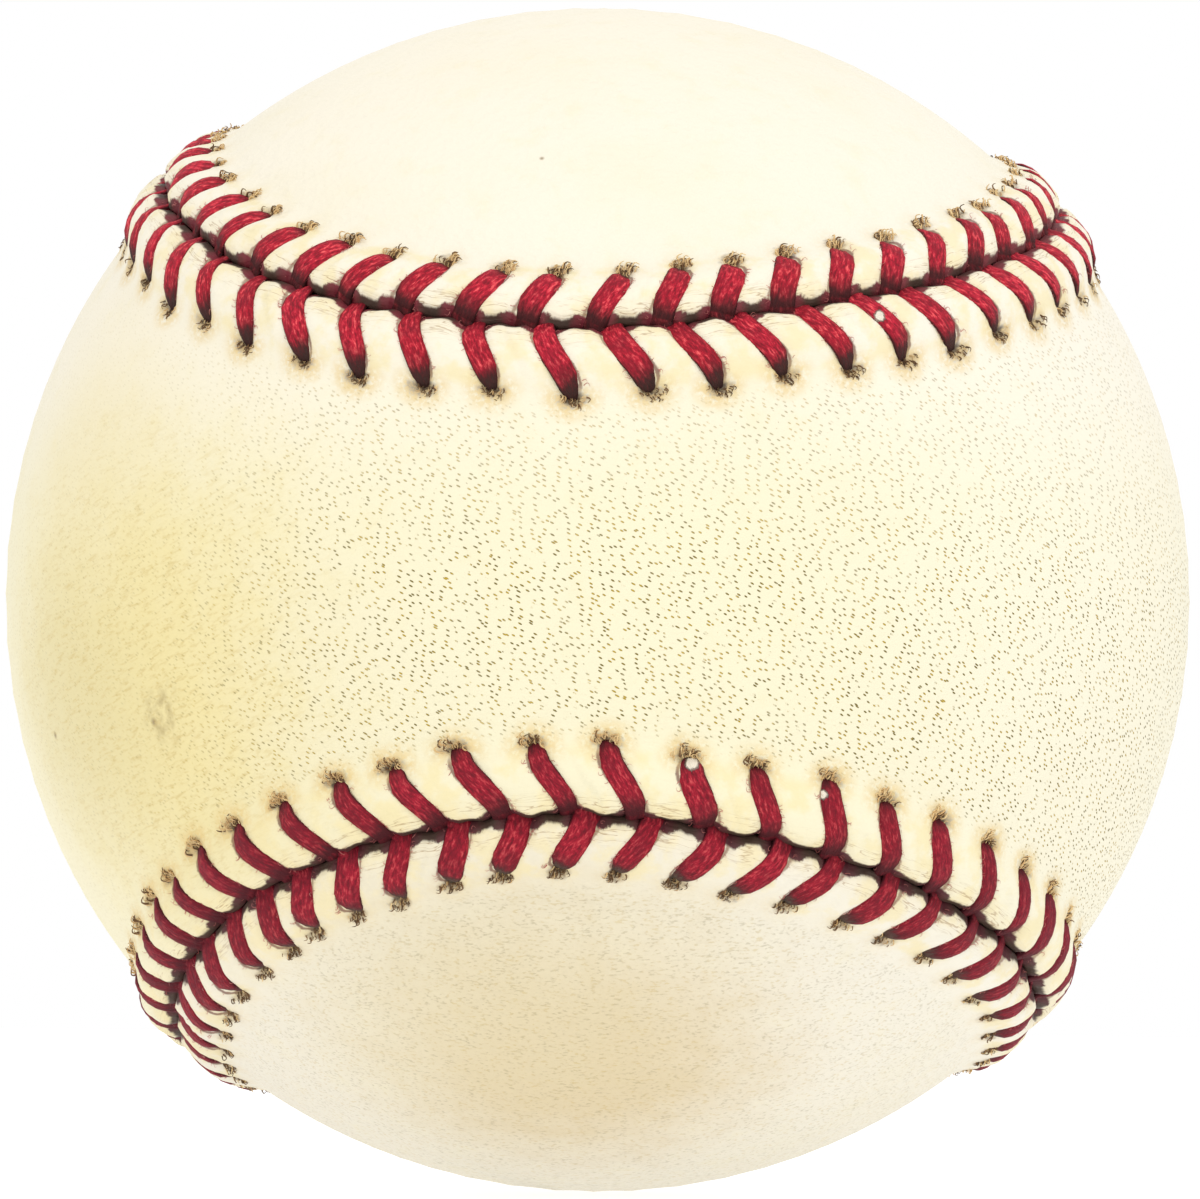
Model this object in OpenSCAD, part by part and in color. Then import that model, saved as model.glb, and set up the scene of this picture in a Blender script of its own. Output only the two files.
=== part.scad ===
// A baseball: two figure-eight leather panels laced over wound yarn and a cushioned cork centre.
// Millimetres. The origin is the ball's centre, +Z is up, and the neck of one panel faces -Y.

/* [Cork centre] */
// Diameter of the cork and rubber ball in the middle
cork_d = 20.6; // [18:0.1:23]
// Thickness of the two black rubber half shells
black_t = 3.2; // [2:0.1:4]
// Thickness of the rubber washer between the rims of the half shells
washer_t = 0.8; // [0.4:0.1:1.6]
// Thickness of the red rubber jacket over the half shells
red_t = 3.15; // [2:0.05:4]

/* [Windings] */
// Thickness of the first winding, of thick grey wool
inner_wool_t = 14.7; // [12:0.1:17]
// Thickness of the second winding, of white wool
white_wool_t = 1.75; // [1:0.05:2.5]
// Thickness of the third winding, of fine grey wool
outer_wool_t = 1.9; // [1:0.05:2.5]
// Thickness of the last winding, of fine cotton yarn
finish_t = 0.35; // [0.2:0.05:0.6]

/* [Cover] */
// Thickness of the leather
leather_t = 1.25; // [1:0.05:1.6]
// Height that the seam lifts the leather above the ball
welt_rise = 0.8; // [0.6:0.05:1.1]
// Distance from the seam line to the edge of the raised welt's flat top
welt_top_w = 3.3; // [2.8:0.1:3.6]
// Distance from the seam line to the foot of the welt
welt_foot_w = 4.7; // [4.3:0.1:5.4]
// Gap between the two panels' edges
seam_gap = 0.9; // [0.8:0.05:1.2]

/* [Seam line] */
// How far the seam reaches towards the panels' necks, in degrees
seam_reach = 69.6; // [66:0.1:73]
// How much the seam's reach is flattened at the necks, in degrees
seam_bow = 2.0; // [0:0.1:3]
// How far the seam swings aside to round out the panels' ends, in degrees
seam_swing = 21.9; // [19:0.1:25]
// How far hand lacing has skewed the seam, in degrees
seam_skew = 2.3; // [0:0.1:3]
// How far hand lacing has drawn the seam to one side, in degrees
seam_drift = 2.1; // [0:0.1:3]

/* [Lacing] */
// Pairs of double stitches round the seam
stitch_pairs = 54; // [48:1:58]
// Distance from the seam line to the centres of the holes
hole_reach = 3.6; // [3.4:0.1:3.8]
// Diameter of the holes in the leather
hole_d = 1.15; // [1.1:0.05:1.4]
// How far along the seam each leg leans from its hole to the gap
leg_lean = 1.8; // [1.4:0.1:2.4]
// Width of a leg of thread where it lies flat on the leather
leg_w = 1.8; // [1.2:0.1:2.1]
// Thickness of a leg of thread where it lies flat
leg_t = 0.55; // [0.4:0.05:0.7]
// Diameter of the thread where a hole or the gap pinches it
thread_d = 0.8; // [0.6:0.05:0.8]
// How far the hand has spread the stitches apart over both necks
stitch_spread = 0.55; // [0:0.05:0.8]
// How far it has moved them along from one neck to the other
stitch_shift = 0.5; // [0:0.05:0.8]
// How far it has gathered them in towards the middle of each half neck
stitch_gather = 0.75; // [0:0.05:0.9]

/* [Hidden] */
// Facets round a layer and round a hole
$fn = 96;
hole_facets = 24;

// Clearance between the thread and what it lies on or passes through
thread_gap = 0.05;
// How far every cut runs past the surface that it cuts
overrun = 0.4;

// Radii of the layers, from the middle out
cork_r = cork_d / 2;
black_r = cork_r + black_t;
pill_r = black_r + red_t;
inner_wool_r = pill_r + inner_wool_t;
white_wool_r = inner_wool_r + white_wool_t;
outer_wool_r = white_wool_r + outer_wool_t;
wound_r = outer_wool_r + finish_t;
ball_r = wound_r + leather_t;
welt_r = ball_r + welt_rise;

// The hollow under the welt, which the thread passes through
hollow_r = wound_r + welt_rise;
hollow_top_w = hole_reach + thread_d / 2;
hollow_foot_w = (hollow_top_w + welt_foot_w) / 2;

// The seam line closes after two turns of its parameter, in degrees
turns = 720;
// Steps round the seam for its solids, and for measuring its length
seam_cuts = 216;
measure_cuts = 720;
// How far the wedge that cuts the cover in two reaches out, as a share of the ball's radius
far_share = 1.4;

stitches = 2 * stitch_pairs;

// Angle from -Y, and angle round it from +Z, of the seam line at t
function seam_tilt(t) = 90 - seam_reach * cos(t) + seam_bow * cos(3 * t);
function seam_turn(t) =
    t / 2 + seam_swing * sin(2 * t) + seam_skew * cos(3 * t / 2) + seam_drift * sin(t / 2);

// Unit vectors at t: out through the seam, along it, and across it towards the front panel
function unit(v) = v / norm(v);
function seam_out(t) =
    let (tilt = seam_tilt(t), turn = seam_turn(t))
    [-sin(tilt) * sin(turn), -cos(tilt), sin(tilt) * cos(turn)];
function seam_along(t) = unit(seam_out(t + 1) - seam_out(t - 1));
function seam_across(t) = unit(cross(seam_out(t), seam_along(t)));

// The point at t that lies a distance across from the seam, measured on the ball, at radius r
function seam_point(t, across, r) =
    let (angle = across / ball_r * 180 / PI)
    r * (cos(angle) * seam_out(t) + sin(angle) * seam_across(t));

// Length of the seam up to each of many marks, to find the parameter at a length
seam_marks = [for (i = [0 : measure_cuts]) ball_r * seam_out(turns * i / measure_cuts)];
seam_runs = [
    for (i = 0, run = 0; i <= measure_cuts;
        run = run + (i < measure_cuts ? norm(seam_marks[i + 1] - seam_marks[i]) : 0), i = i + 1)
    [run, turns * i / measure_cuts]
];
seam_length = seam_runs[measure_cuts][0];
pitch = seam_length / stitches;
function seam_at(run) = lookup(run - seam_length * floor(run / seam_length), seam_runs);

// Length along the seam at which stitch k of one side drops into the gap. Side 1 is the front
// panel and -1 the back panel, whose stitches drop in a crossing further along.
crossing = thread_d + 4 * thread_gap;
function gap_run(k, side) =
    let (round = 360 * k / stitches)
    k * pitch + stitch_spread * sin(2 * round) + stitch_shift * cos(3 * round)
    - stitch_gather * cos(4 * round) + (1 - side) * crossing / 2;
function hole_run(k, side) = gap_run(k, side) - leg_lean;

// Faces of a closed tube of rings, with each ring's points in turn
function tube_faces(rings, sides) = [
    for (i = [0 : rings - 1], j = [0 : sides - 1])
        let (
            a = i * sides + j,
            b = i * sides + (j + 1) % sides,
            c = (i + 1) % rings * sides + (j + 1) % sides,
            d = (i + 1) % rings * sides + j
        )
        each [[a, c, b], [a, d, c]]
];

// A closed band along the whole seam, from an outline of distances across and radii
module seam_band(outline) {
    polyhedron(
        [for (i = [0 : seam_cuts - 1], p = outline) seam_point(turns * i / seam_cuts, p[0], p[1])],
        tube_faces(seam_cuts, len(outline))
    );
}

// The point on the arc from a to b that lies at a share of its length
function arc_point(a, b, share) =
    let (angle = acos(a * b / norm(a) / norm(b)))
    (sin((1 - share) * angle) * a + sin(share * angle) * b) / sin(angle);

// The wedge from the ball's centre out through the front panel, its edge moved across by inset.
// Rows of points run over the panel from one side of the seam to the other.
strips = 5;
module front_wedge(inset) {
    half = seam_cuts / 2;
    step = turns / seam_cuts;
    far_r = far_share * ball_r;
    tips = [for (t = [-turns / 4, turns / 4]) seam_point(t, inset, far_r)];
    rows = [
        for (i = [1 : half - 1], j = [0 : strips])
            let (t = i * step - turns / 4)
            arc_point(seam_point(t, inset, far_r), seam_point(turns / 2 - t, inset, far_r), j / strips)
    ];
    wide = strips + 1;
    tip_1 = len(rows);
    tip_2 = tip_1 + 1;
    middle = tip_1 + 2;
    last = (half - 2) * wide;
    polyhedron(
        concat(rows, tips, [[0, 0, 0]]),
        concat(
            [for (i = [0 : half - 3], j = [0 : strips - 1])
                let (a = i * wide + j, b = a + 1, c = a + wide, d = c + 1)
                each [[a, b, d], [a, d, c]]],
            [for (j = [0 : strips - 1]) [tip_1, j + 1, j]],
            [for (j = [0 : strips - 1]) [tip_2, last + j, last + j + 1]],
            [for (i = [0 : half - 3]) let (a = i * wide) [middle, a, a + wide]],
            [for (i = [0 : half - 3]) let (a = i * wide + strips) [middle, a + wide, a]],
            [[middle, tip_1, 0], [middle, strips, tip_1]],
            [[middle, last, tip_2], [middle, tip_2, last + strips]]
        )
    );
}

module spherical_shell(inner_r, outer_r) {
    difference() {
        sphere(r = outer_r);
        sphere(r = inner_r);
    }
}

module half_shell() {
    difference() {
        spherical_shell(cork_r, black_r);
        translate([0, -black_r - overrun + washer_t / 2, 0])
            cube(2 * (black_r + overrun), center = true);
    }
}

// The cover before it is cut in two: a leather shell that the lacing lifts along the seam
module whole_cover() {
    difference() {
        union() {
            sphere(r = ball_r);
            seam_band([
                [welt_foot_w, ball_r - overrun],
                [welt_top_w, welt_r],
                [0, welt_r],
                [-welt_top_w, welt_r],
                [-welt_foot_w, ball_r - overrun]
            ]);
        }
        sphere(r = wound_r);
        seam_band([
            [hollow_foot_w, wound_r - overrun],
            [hollow_top_w, hollow_r],
            [0, hollow_r],
            [-hollow_top_w, hollow_r],
            [-hollow_foot_w, wound_r - overrun]
        ]);
    }
}

// The row of stitch holes down one side of the seam: 1 for the front panel, -1 for the back one
module stitch_holes(side) {
    for (k = [0 : stitches - 1]) {
        p = seam_point(seam_at(hole_run(k, side)), side * hole_reach, 1);
        rotate([0, acos(p[2]), atan2(p[1], p[0])])
            translate([0, 0, wound_r - overrun])
                cylinder(d = hole_d, h = welt_r - wound_r + 2 * overrun, $fn = hole_facets);
    }
}

// One end of the thread, which laces alternate holes of the two panels all round the seam.
// Each stitch comes up its hole, lies over the leather, drops into the gap, and runs under
// the other panel to that panel's next hole.
section_shares = [[1, 0], [0.6, 1], [-0.6, 1], [-1, 0], [-0.6, -1], [0.6, -1]];
under_r = wound_r + 3 * thread_gap + leg_t / 2;
over_r = welt_r + thread_gap + leg_t / 2;
// A corner is thicker along its slant, so that the thread keeps its thickness on both sides
corner_share = 1.06;
corner_d = corner_share * thread_d;
// The places that one stitch passes: length along the seam, distance across it, radius,
// width, thickness, and the angle that the width makes with the seam
function thread_places(k, side) =
    let (
        hole = hole_run(k, side),
        gap = gap_run(k, side),
        over = atan2(side * (gap - hole), hole_reach),
        under = atan2(side * (hole_run(k + 1, -side) - gap), hole_reach),
        before = atan2(-side * (hole - gap_run(k - 1, -side)), hole_reach)
    )
    [
        [hole, side * hole_reach, under_r, thread_d, corner_d, (over + before) / 2],
        [hole, side * hole_reach, over_r, thread_d, corner_d, (over + before) / 2],
        [(hole + gap) / 2, side * hole_reach / 2, over_r, leg_w, leg_t, over],
        [gap, 0, over_r, thread_d, corner_d, (over + under) / 2],
        [gap, 0, under_r, thread_d, corner_d, (over + under) / 2]
    ];

module lacing(first) {
    places = [for (k = [0 : stitches - 1]) each thread_places(k, (k + first) % 2 == 0 ? 1 : -1)];
    count = len(places);
    centres = [for (p = places) seam_point(seam_at(p[0]), p[1], p[2])];
    sides = len(section_shares);
    polyhedron(
        [
            for (i = [0 : count - 1], share = section_shares)
                let (
                    p = places[i],
                    t = seam_at(p[0]),
                    heading = unit(
                        unit(centres[(i + 1) % count] - centres[i])
                        + unit(centres[i] - centres[(i + count - 1) % count])
                    ),
                    wide = cos(p[5]) * seam_along(t) + sin(p[5]) * seam_across(t),
                    thick = unit(cross(heading, wide)),
                    level = cross(thick, heading)
                )
                centres[i] + share[0] * p[3] / 2 * level + share[1] * p[4] / 2 * thick
        ],
        tube_faces(count, sides)
    );
}

module cork_core() {
    color("#a9783f") sphere(r = cork_r);
}

module black_shell_front() {
    color("#26272b") mirror([0, 1, 0]) half_shell();
}

module black_shell_back() {
    color("#26272b") half_shell();
}

module rubber_washer() {
    color("#b23a30")
        rotate([90, 0, 0])
            difference() {
                intersection() {
                    sphere(r = black_r);
                    cube([2 * ball_r, 2 * ball_r, washer_t], center = true);
                }
                sphere(r = cork_r);
            }
}

module red_rubber_jacket() {
    color("#a8322c") spherical_shell(black_r, pill_r);
}

module inner_wool_winding() {
    color("#8d8c88") spherical_shell(pill_r, inner_wool_r);
}

module white_wool_winding() {
    color("#ece8dc") spherical_shell(inner_wool_r, white_wool_r);
}

module outer_wool_winding() {
    color("#9a9995") spherical_shell(white_wool_r, outer_wool_r);
}

module finishing_winding() {
    color("#f4f1e6") spherical_shell(outer_wool_r, wound_r);
}

module cover_panel_front() {
    color("#f3ecd9")
        difference() {
            intersection() {
                whole_cover();
                front_wedge(seam_gap / 2);
            }
            stitch_holes(1);
        }
}

module cover_panel_back() {
    color("#f0e8d2")
        difference() {
            whole_cover();
            front_wedge(-seam_gap / 2);
            stitch_holes(-1);
        }
}

module lacing_thread_lead() {
    color("#b3202c") lacing(0);
}

module lacing_thread_follow() {
    color("#a51b28") lacing(1);
}

cork_core();
black_shell_front();
black_shell_back();
rubber_washer();
red_rubber_jacket();
inner_wool_winding();
white_wool_winding();
outer_wool_winding();
finishing_winding();
cover_panel_front();
cover_panel_back();
lacing_thread_lead();
lacing_thread_follow();
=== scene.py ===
import math

import bpy
import numpy as np
from mathutils import Matrix, Vector


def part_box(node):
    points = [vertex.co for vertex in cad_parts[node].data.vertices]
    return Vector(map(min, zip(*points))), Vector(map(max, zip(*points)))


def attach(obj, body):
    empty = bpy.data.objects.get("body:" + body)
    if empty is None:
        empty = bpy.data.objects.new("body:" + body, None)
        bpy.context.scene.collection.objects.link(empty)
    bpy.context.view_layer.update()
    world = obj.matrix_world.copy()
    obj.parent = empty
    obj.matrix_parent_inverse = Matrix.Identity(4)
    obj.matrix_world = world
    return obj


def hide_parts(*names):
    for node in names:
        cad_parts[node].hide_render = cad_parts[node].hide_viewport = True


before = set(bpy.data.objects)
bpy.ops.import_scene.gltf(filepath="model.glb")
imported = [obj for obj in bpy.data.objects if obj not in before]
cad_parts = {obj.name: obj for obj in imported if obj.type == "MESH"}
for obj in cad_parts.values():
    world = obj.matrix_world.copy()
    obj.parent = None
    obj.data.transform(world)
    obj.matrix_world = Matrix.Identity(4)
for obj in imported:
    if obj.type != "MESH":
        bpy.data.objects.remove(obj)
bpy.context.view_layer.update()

# Cork core: a ball of ground cork and rubber, pressed hot in a mould. It is the very middle of
# the baseball, and everything else is built up round it.
mm = 0.001


class Wire:
    """A socket of a node tree. Sums of wires add Math nodes, and node() adds any other node"""

    def __init__(self, tree, socket=None):
        self.tree = tree
        self.socket = socket

    def node(self, kind, values, out=0, stops=None, **settings):
        made = self.tree.nodes.new(kind)
        for name, setting in settings.items():
            setattr(made, name, setting)
        if stops:
            ramp = made.color_ramp.elements
            while len(ramp) < len(stops):
                ramp.new(1.0)
            for element, (position, colour) in zip(ramp, stops):
                element.position = position
                element.color = (*colour, 1.0)
        for name, value in values.items():
            if isinstance(value, Wire):
                self.tree.links.new(value.socket, made.inputs[name])
            else:
                made.inputs[name].default_value = value
        return Wire(self.tree, made.outputs[out] if len(made.outputs) else None)

    def math(self, operation, *others):
        return self.node("ShaderNodeMath", dict(enumerate((self, *others))), operation=operation)

    def __add__(self, other):
        return self.math("ADD", other)

    def __mul__(self, other):
        return self.math("MULTIPLY", other)

    def __sub__(self, other):
        return self.math("SUBTRACT", other)

    def __rsub__(self, other):
        return self.math("MULTIPLY", -1.0) + other

    def __truediv__(self, other):
        return self.math("DIVIDE", other)

    __radd__ = __add__
    __rmul__ = __mul__

    def stretched(self, x, y, z):
        """This vector, with each of its parts multiplied"""
        return self.node("ShaderNodeVectorMath", {0: self, 1: (x, y, z)}, operation="MULTIPLY")

    def eased(self, low, high):
        """0 below low, 1 above high, and a smooth rise between"""
        ends = {"Value": self, "From Min": low, "From Max": high}
        return self.node("ShaderNodeMapRange", ends, interpolation_type="SMOOTHSTEP")

    def noise(self, size, detail=2.0, rough=0.5):
        """A cloudy pattern of this size in millimetres, from 0 to 1"""
        values = {"Vector": self, "Scale": 1 / size, "Detail": detail, "Roughness": rough}
        return self.node("ShaderNodeTexNoise", values)

    def cells(self, size, out="Distance", feature="F1"):
        """Cells of this size in millimetres"""
        values = {"Vector": self, "Scale": 1 / size}
        return self.node("ShaderNodeTexVoronoi", values, out=out, feature=feature)

    def part(self, axis):
        """The X, Y or Z of this vector"""
        return self.node("ShaderNodeSeparateXYZ", {0: self}, out=axis)

    def away_from(self, centre):
        """The distance from this place to another"""
        ends = {0: self, 1: centre}
        return self.node("ShaderNodeVectorMath", ends, out="Value", operation="DISTANCE")

    def mixed(self, first, second):
        """Two colours mixed by this factor"""
        values = {0: self}
        for place, colour in ((6, first), (7, second)):
            values[place] = colour if isinstance(colour, Wire) else (*colour, 1.0)
        return self.node("ShaderNodeMix", values, out=2, data_type="RGBA")


def new_finish(name):
    """An empty material, and the place on the piece in millimetres"""
    material = bpy.data.materials.new(name)
    material.use_nodes = True
    material.node_tree.nodes.clear()
    start = Wire(material.node_tree)
    place = start.node("ShaderNodeTexCoord", {}, out="Object").stretched(1 / mm, 1 / mm, 1 / mm)
    return material, place


def set_finish(material, colour, roughness, height, **constants):
    """Joins a finish's parts in one shader. The height is in millimetres"""
    start = Wire(material.node_tree)
    normal = start.node("ShaderNodeBump", {"Height": height, "Distance": mm})
    values = {"Base Color": colour, "Roughness": roughness, "Normal": normal}
    values.update({name.replace("_", " "): value for name, value in constants.items()})
    shader = start.node("ShaderNodeBsdfPrincipled", values)
    start.node("ShaderNodeOutputMaterial", {"Surface": shader})


def dress(node, material):
    """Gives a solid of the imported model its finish"""
    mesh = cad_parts[node].data
    mesh.materials.clear()
    mesh.materials.append(material)
    mesh.shade_smooth()


cork_finish, place = new_finish("pressed_cork")
grain = place.cells(1.3, out="Color").part("X")
dark_grain = place.cells(2.1, out="Color").part("Y").eased(0.78, 0.82)
bind = place.cells(1.3, feature="DISTANCE_TO_EDGE").eased(0.0, 0.09)
cork_colour = grain.mixed((0.30, 0.155, 0.06), (0.50, 0.30, 0.13))
cork_colour = dark_grain.mixed(cork_colour, (0.09, 0.045, 0.025))
cork_colour = (1 - bind).mixed(cork_colour, (0.13, 0.07, 0.035))
cork_height = bind * 0.05 + place.noise(0.3) * 0.04
set_finish(cork_finish, cork_colour, 0.75 + grain * 0.15, cork_height)
dress("cork_core", cork_finish)

# Black half shells: moulded rubber, cemented round the core. They meet at the washer, and
# their surface keeps the dull skin of the mould.
black_finish, place = new_finish("black_rubber")
bloom = place.noise(4.0, 4.0)
black_colour = bloom.eased(0.4, 0.75).mixed((0.012, 0.012, 0.014), (0.035, 0.035, 0.038))
black_height = place.noise(0.25, 3.0) * 0.03 + place.cells(0.9) * 0.02
set_finish(black_finish, black_colour, 0.5 + bloom * 0.25, black_height)
dress("black_shell_front", black_finish)
dress("black_shell_back", black_finish)

# Washer and jacket: red rubber. The washer fills the joint of the half shells, and the jacket
# is moulded over them all, so the centre leaves the mould with a fine flow grain.
red_finish, place = new_finish("red_rubber")
flow = place.stretched(1.0, 1.0, 0.3).noise(2.5, 4.0)
red_colour = flow.eased(0.35, 0.7).mixed((0.30, 0.022, 0.014), (0.42, 0.045, 0.03))
red_height = place.noise(0.3, 3.0) * 0.03 + flow * 0.05
set_finish(red_finish, red_colour, 0.45 + flow * 0.2, red_height)
dress("rubber_washer", red_finish)
dress("red_rubber_jacket", red_finish)


# Wool windings: yarn wound on by machine in great circles, each layer tight on the last. The
# first is thick grey wool, the second white wool and the third fine grey wool.
def new_tree(name, inputs):
    """An empty Geometry Nodes tree, and its named inputs as wires"""
    tree = bpy.data.node_groups.new(name, "GeometryNodeTree")
    for socket, kind in inputs.items():
        tree.interface.new_socket(socket, in_out="INPUT", socket_type="NodeSocket" + kind)
    tree.interface.new_socket("Geometry", in_out="OUTPUT", socket_type="NodeSocketGeometry")
    given = tree.nodes.new("NodeGroupInput")
    return tree, {socket: Wire(tree, given.outputs[socket]) for socket in inputs}


def end_tree(tree, geometry, material):
    """The last nodes of each tree"""
    start = Wire(tree)
    real = start.node("GeometryNodeRealizeInstances", {"Geometry": geometry})
    smooth = start.node("GeometryNodeSetShadeSmooth", {"Geometry": real})
    done = start.node("GeometryNodeSetMaterial", {"Geometry": smooth, "Material": material})
    start.node("NodeGroupOutput", {"Geometry": done})


def kept(geometry, name, value):
    """The geometry, with a value on its points under a name"""
    values = {"Geometry": geometry, "Name": name, "Value": value}
    return geometry.node("GeometryNodeStoreNamedAttribute", values)


def read(start, name, kind="FLOAT"):
    """A value that the points carry under a name"""
    return start.node("GeometryNodeInputNamedAttribute", {"Name": name}, data_type=kind)


def placed(name, data):
    """A new object of the scene, with its mesh, lamp or camera"""
    made = bpy.data.objects.new(name, data)
    bpy.context.scene.collection.objects.link(made)
    return made


def grown(name, tree, mesh, **sizes):
    """A piece whose mesh is what the tree makes of a starting mesh"""
    piece = placed(name, mesh)
    modifier = piece.modifiers.new(tree.name, "NODES")
    modifier.node_group = tree
    for item in tree.interface.items_tree:
        if item.name in sizes:
            modifier[item.identifier] = sizes[item.name]
    graph = bpy.context.evaluated_depsgraph_get()
    made = bpy.data.meshes.new_from_object(
        piece.evaluated_get(graph), preserve_all_data_layers=True, depsgraph=graph
    )
    piece.modifiers.clear()
    piece.data = made
    return piece


def ringed(start, sides):
    """A unit ring to sweep along a path, whose points remember their place on it"""
    ring = start.node("GeometryNodeCurvePrimitiveCircle", {"Resolution": sides, "Radius": 1.0})
    corner = start.node("GeometryNodeInputPosition", {})
    return kept(kept(ring, "ring_x", corner.part("X")), "ring_y", corner.part("Y"))


loop_cuts = 80
yarn_sides = 5
ball_cuts = 5
layer_share = 0.2
bed_share = 0.7
winding_tree, given = new_tree(
    "wound_yarn",
    {
        "Geometry": "Geometry", "Loops": "Int", "Cuts": "Int", "Radius": "Float", "Yarn": "Float",
        "Inside": "Float", "Seed": "Int", "Material": "Material",
    },
)
start = Wire(winding_tree)
spread = {"Max": (2 * math.pi,) * 3, "Seed": given["Seed"]}
facing = start.node("FunctionNodeRandomValue", spread, data_type="FLOAT_VECTOR")
layer = start.node(
    "FunctionNodeRandomValue", {2: 0.0, 3: 1.0, "Seed": given["Seed"] + 1}, out=1, data_type="FLOAT"
)
loop_r = given["Radius"] - given["Yarn"] * 0.5 - layer * given["Yarn"] * layer_share
loop = start.node(
    "GeometryNodeCurvePrimitiveCircle", {"Resolution": given["Cuts"], "Radius": 1.0}
)
points = start.node("GeometryNodePoints", {"Count": given["Loops"]})
loops = start.node(
    "GeometryNodeInstanceOnPoints",
    {"Points": points, "Instance": loop, "Rotation": facing, "Scale": loop_r},
)
loops = start.node("GeometryNodeRealizeInstances", {"Geometry": loops})
step = start.node("GeometryNodeSplineParameter", {}, out="Length")
loops = kept(loops, "yarn_run", step / mm)
yarn = start.node(
    "GeometryNodeCurveToMesh",
    {"Curve": loops, "Profile Curve": ringed(start, yarn_sides), "Scale": given["Yarn"] * 0.5},
)
ball = start.node(
    "GeometryNodeMeshIcoSphere",
    {"Radius": given["Radius"] - given["Yarn"] * bed_share, "Subdivisions": ball_cuts},
)
hollow = start.node(
    "GeometryNodeMeshIcoSphere", {"Radius": given["Inside"], "Subdivisions": ball_cuts}
)
hollow = start.node("GeometryNodeFlipFaces", {"Mesh": hollow})
joined = start.node("GeometryNodeJoinGeometry", {"Geometry": yarn})
for part in (ball, hollow):
    winding_tree.links.new(part.socket, joined.socket.node.inputs[0])
end_tree(winding_tree, joined, given["Material"])


def carried_by(place, *names):
    """The values that a mesh carries under these names, for its finish"""
    kind = "ShaderNodeAttribute"
    return [place.node(kind, {}, out="Fac", attribute_name=name) for name in names]


def yarn_finish(name, light, dark, twist):
    """Twisted yarn: its ply shows as slanting ridges, and its fibres as fine streaks"""
    material, place = new_finish(name)
    run, round_x, round_y = carried_by(place, "yarn_run", "ring_x", "ring_y")
    round_it = round_y.math("ARCTAN2", round_x)
    ply = (run * (2 * math.pi / twist) + round_it * 2.0).math("SINE") * 0.5 + 0.5
    fuzz = place.noise(0.25, 4.0, 0.7)
    soil = place.noise(9.0, 3.0)
    colour = (ply * 0.6 + fuzz * 0.4).mixed(dark, light)
    colour = (soil.eased(0.5, 0.8) * 0.35).mixed(colour, dark)
    set_finish(
        material, colour, 0.85 + fuzz * 0.1, ply * 0.12 + fuzz * 0.1,
        Sheen_Weight=0.3, Sheen_Roughness=0.6,
    )
    return material


def outer_radius(node):
    """How far a ball-shaped solid reaches from the centre, in millimetres"""
    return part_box(node)[1][2] / mm


def winding(node, loops, yarn, inner_node, seed, finish):
    """One wound layer on the one inside it, in the place of its solid"""
    piece = grown(
        node.replace("winding", "yarn"), winding_tree, bpy.data.meshes.new(node),
        Loops=loops, Cuts=loop_cuts, Radius=outer_radius(node) * mm, Yarn=yarn * mm,
        Inside=outer_radius(inner_node) * mm, Seed=seed, Material=finish,
    )
    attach(piece, "root")
    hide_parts(node)


grey_yarn = yarn_finish("grey_wool", (0.36, 0.35, 0.33), (0.13, 0.125, 0.12), 3.0)
white_yarn = yarn_finish("white_wool", (0.80, 0.76, 0.66), (0.48, 0.44, 0.36), 2.4)
winding("inner_wool_winding", 90, 2.4, "red_rubber_jacket", 3, grey_yarn)
winding("white_wool_winding", 120, 1.4, "inner_wool_winding", 4, white_yarn)
winding("outer_wool_winding", 120, 1.3, "white_wool_winding", 5, grey_yarn)

# Finishing winding: fine white cotton yarn over the wool. It gives the cover a firm, even bed,
# and a film of cement holds it.
cotton = yarn_finish("cotton_yarn", (0.86, 0.83, 0.74), (0.55, 0.50, 0.40), 1.0)
winding("finishing_winding", 230, 0.29, "outer_wool_winding", 6, cotton)
wound_r = outer_radius("finishing_winding")

# Cover: two figure-eight panels of ivory leather, stretched wet over the winding. The lacing
# draws their edges together and lifts them into two rolls, which puff up between the stitches
# and sink under them. Lengths are in millimetres and angles in degrees.
leather_t = 1.25
ball_r = wound_r + leather_t

# The seam line, found on the photograph: how far it swings, and how it strays from an even line
seam_reach = 69.6
seam_bow = 2.0
seam_swing = 21.9
seam_skew = 2.3
seam_drift = 2.1
turns = 720
marks = 2880

# The stitches. Of a pair of values, the first is for the front panel and the other for the back.
# The gap's waves each have a size, a number round the seam and a start
FRONT = 0
BACK = 1
toward = (1, -1)
stitches = 108
stitch_spread = 0.55
stitch_shift = 0.5
stitch_gather = 0.75
crossing = 1.0
leg_lean = 1.8
leg_bow = 0.12
hole_reach = (3.9, 3.4)
leg_w = (1.5, 1.7)
leg_t = 0.6
gap_waves = ((0.07, 41, 0), (0.06, 97, 1), (0.05, 173, 2))
chance = np.random.default_rng(54)


def unit(v):
    return v / np.linalg.norm(v, axis=-1, keepdims=True)


def seam_out(t):
    """The way out through the seam line at t, which closes after two turns, in degrees"""
    a = np.radians(t)
    tilt = np.radians(90 - seam_reach * np.cos(a) + seam_bow * np.cos(3 * a))
    swing = seam_swing * np.sin(2 * a) + seam_skew * np.cos(1.5 * a) + seam_drift * np.sin(a / 2)
    turn = a / 2 + np.radians(swing)
    return np.stack(
        [-np.sin(tilt) * np.sin(turn), -np.cos(tilt), np.sin(tilt) * np.cos(turn)], -1
    )


def seam_along(t):
    """The way along the seam line at t"""
    return unit(seam_out(t + 1) - seam_out(t - 1))


def seam_across(t):
    """The way across the seam line at t, towards the front panel"""
    return unit(np.cross(seam_out(t), seam_along(t)))


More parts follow.
